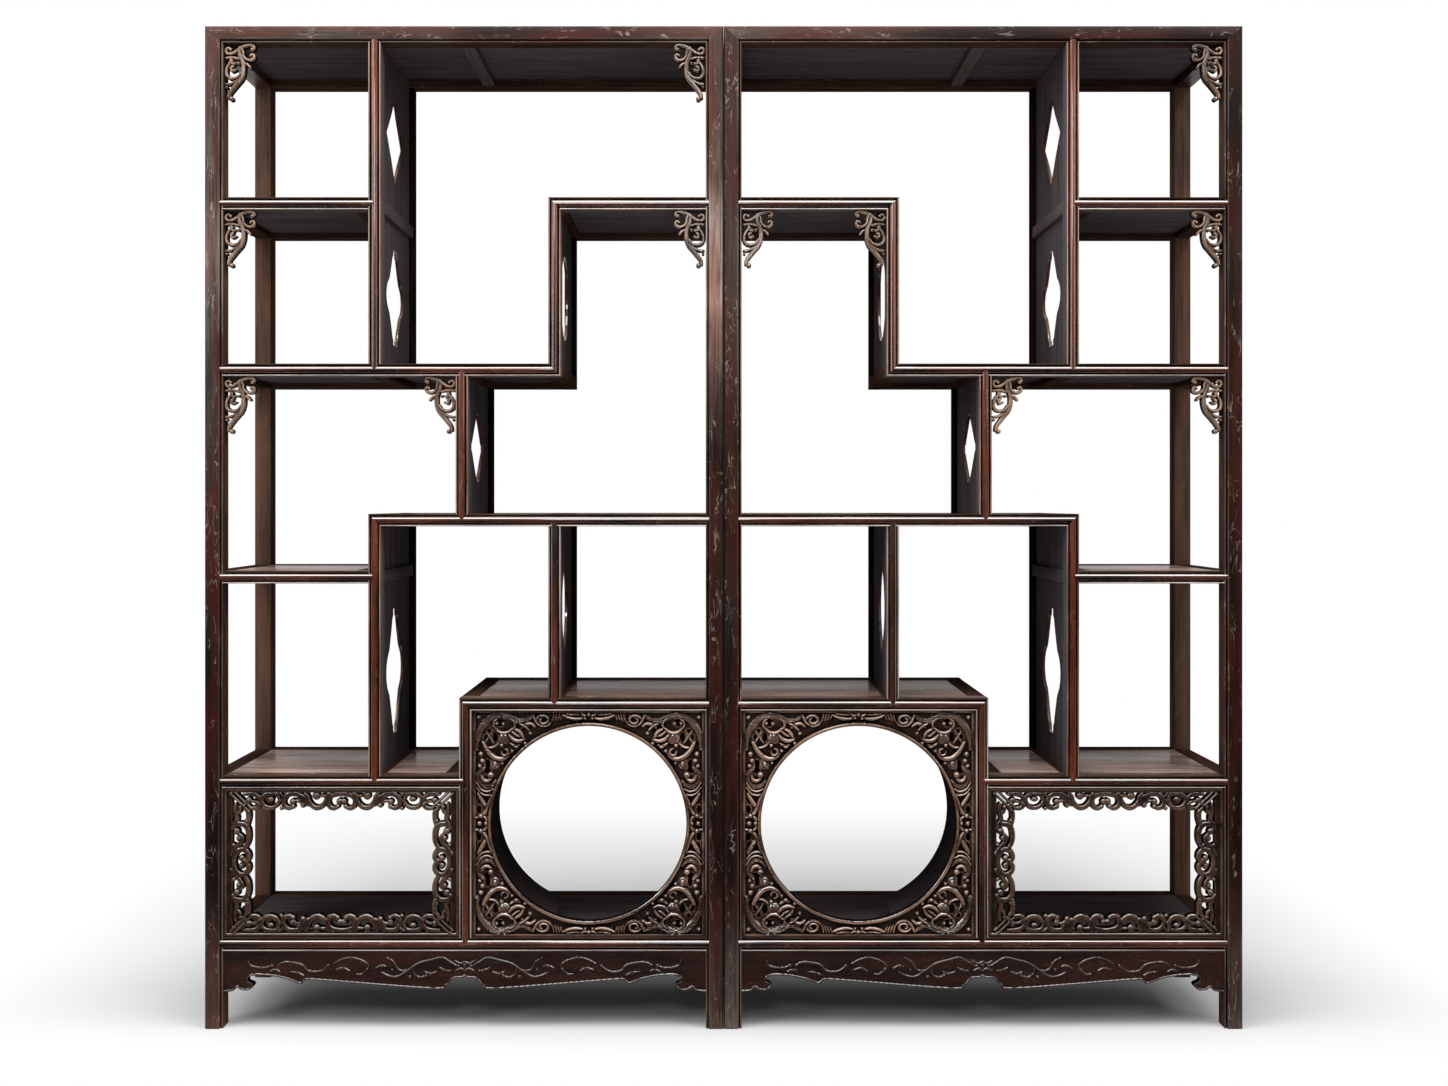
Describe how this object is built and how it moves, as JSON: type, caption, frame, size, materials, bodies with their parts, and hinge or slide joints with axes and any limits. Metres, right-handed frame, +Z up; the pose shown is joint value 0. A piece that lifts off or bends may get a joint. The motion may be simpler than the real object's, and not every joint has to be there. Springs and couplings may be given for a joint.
{
  "type": "display shelf",
  "caption": "Open display shelf in dark lacquered hardwood with stepped shelves, pierced partitions, carved round and rectangular window frames, openwork corner brackets and a shaped apron.",
  "frame": {"origin": "on the floor, under the middle of the pair of cabinets", "axes": "+X to the viewer's right along the front, +Y from the front to the back, +Z up"},
  "size_m": [1.993, 0.36, 1.926],
  "materials": {
    "hardwood_frame": "satin lacquer",
    "hardwood_panel": "satin lacquer",
    "carved_hardwood": "satin lacquer, worn on the crests"
  },
  "bodies": {
    "root": {"left_front_outer_post": "hardwood_frame", "left_front_inner_post": "hardwood_frame", "left_back_outer_post": "hardwood_frame", "left_back_inner_post": "hardwood_frame", "left_top_frame": "hardwood_frame", "left_upper_outer_shelf": "hardwood_frame", "left_high_shelf": "hardwood_frame", "left_upper_long_shelf": "hardwood_frame", "left_middle_shelf": "hardwood_frame", "left_lower_outer_shelf": "hardwood_frame", "left_window_top_shelf": "hardwood_frame", "left_lower_long_shelf": "hardwood_frame", "left_bottom_shelf": "hardwood_frame", "left_tall_partition": "hardwood_frame", "left_high_partition": "hardwood_frame", "left_middle_partition": "hardwood_frame", "left_lower_partition": "hardwood_frame", "left_inner_partition": "hardwood_frame", "left_window_partition": "hardwood_frame", "left_top_panel": "hardwood_panel", "left_top_brace": "hardwood_panel", "left_fretwork_frame": "carved_hardwood", "left_window_panel": "carved_hardwood", "left_apron": "carved_hardwood", "left_top_outer_bracket": "carved_hardwood", "left_top_inner_bracket": "carved_hardwood", "left_upper_outer_bracket": "carved_hardwood", "left_high_inner_bracket": "carved_hardwood", "left_long_outer_bracket": "carved_hardwood", "left_long_inner_bracket": "carved_hardwood", "right_front_outer_post": "hardwood_frame", "right_front_inner_post": "hardwood_frame", "right_back_outer_post": "hardwood_frame", "right_back_inner_post": "hardwood_frame", "right_top_frame": "hardwood_frame", "right_upper_outer_shelf": "hardwood_frame", "right_high_shelf": "hardwood_frame", "right_upper_long_shelf": "hardwood_frame", "right_middle_shelf": "hardwood_frame", "right_lower_outer_shelf": "hardwood_frame", "right_window_top_shelf": "hardwood_frame", "right_lower_long_shelf": "hardwood_frame", "right_bottom_shelf": "hardwood_frame", "right_tall_partition": "hardwood_frame", "right_high_partition": "hardwood_frame", "right_middle_partition": "hardwood_frame", "right_lower_partition": "hardwood_frame", "right_inner_partition": "hardwood_frame", "right_window_partition": "hardwood_frame", "right_top_panel": "hardwood_panel", "right_top_brace": "hardwood_panel", "right_fretwork_frame": "carved_hardwood", "right_window_panel": "carved_hardwood", "right_apron": "carved_hardwood", "right_top_outer_bracket": "carved_hardwood", "right_upper_outer_bracket": "carved_hardwood", "right_high_inner_bracket": "carved_hardwood", "right_high_outer_bracket": "carved_hardwood", "right_long_outer_bracket": "carved_hardwood", "right_long_inner_bracket": "carved_hardwood"}
  },
  "joints": []
}
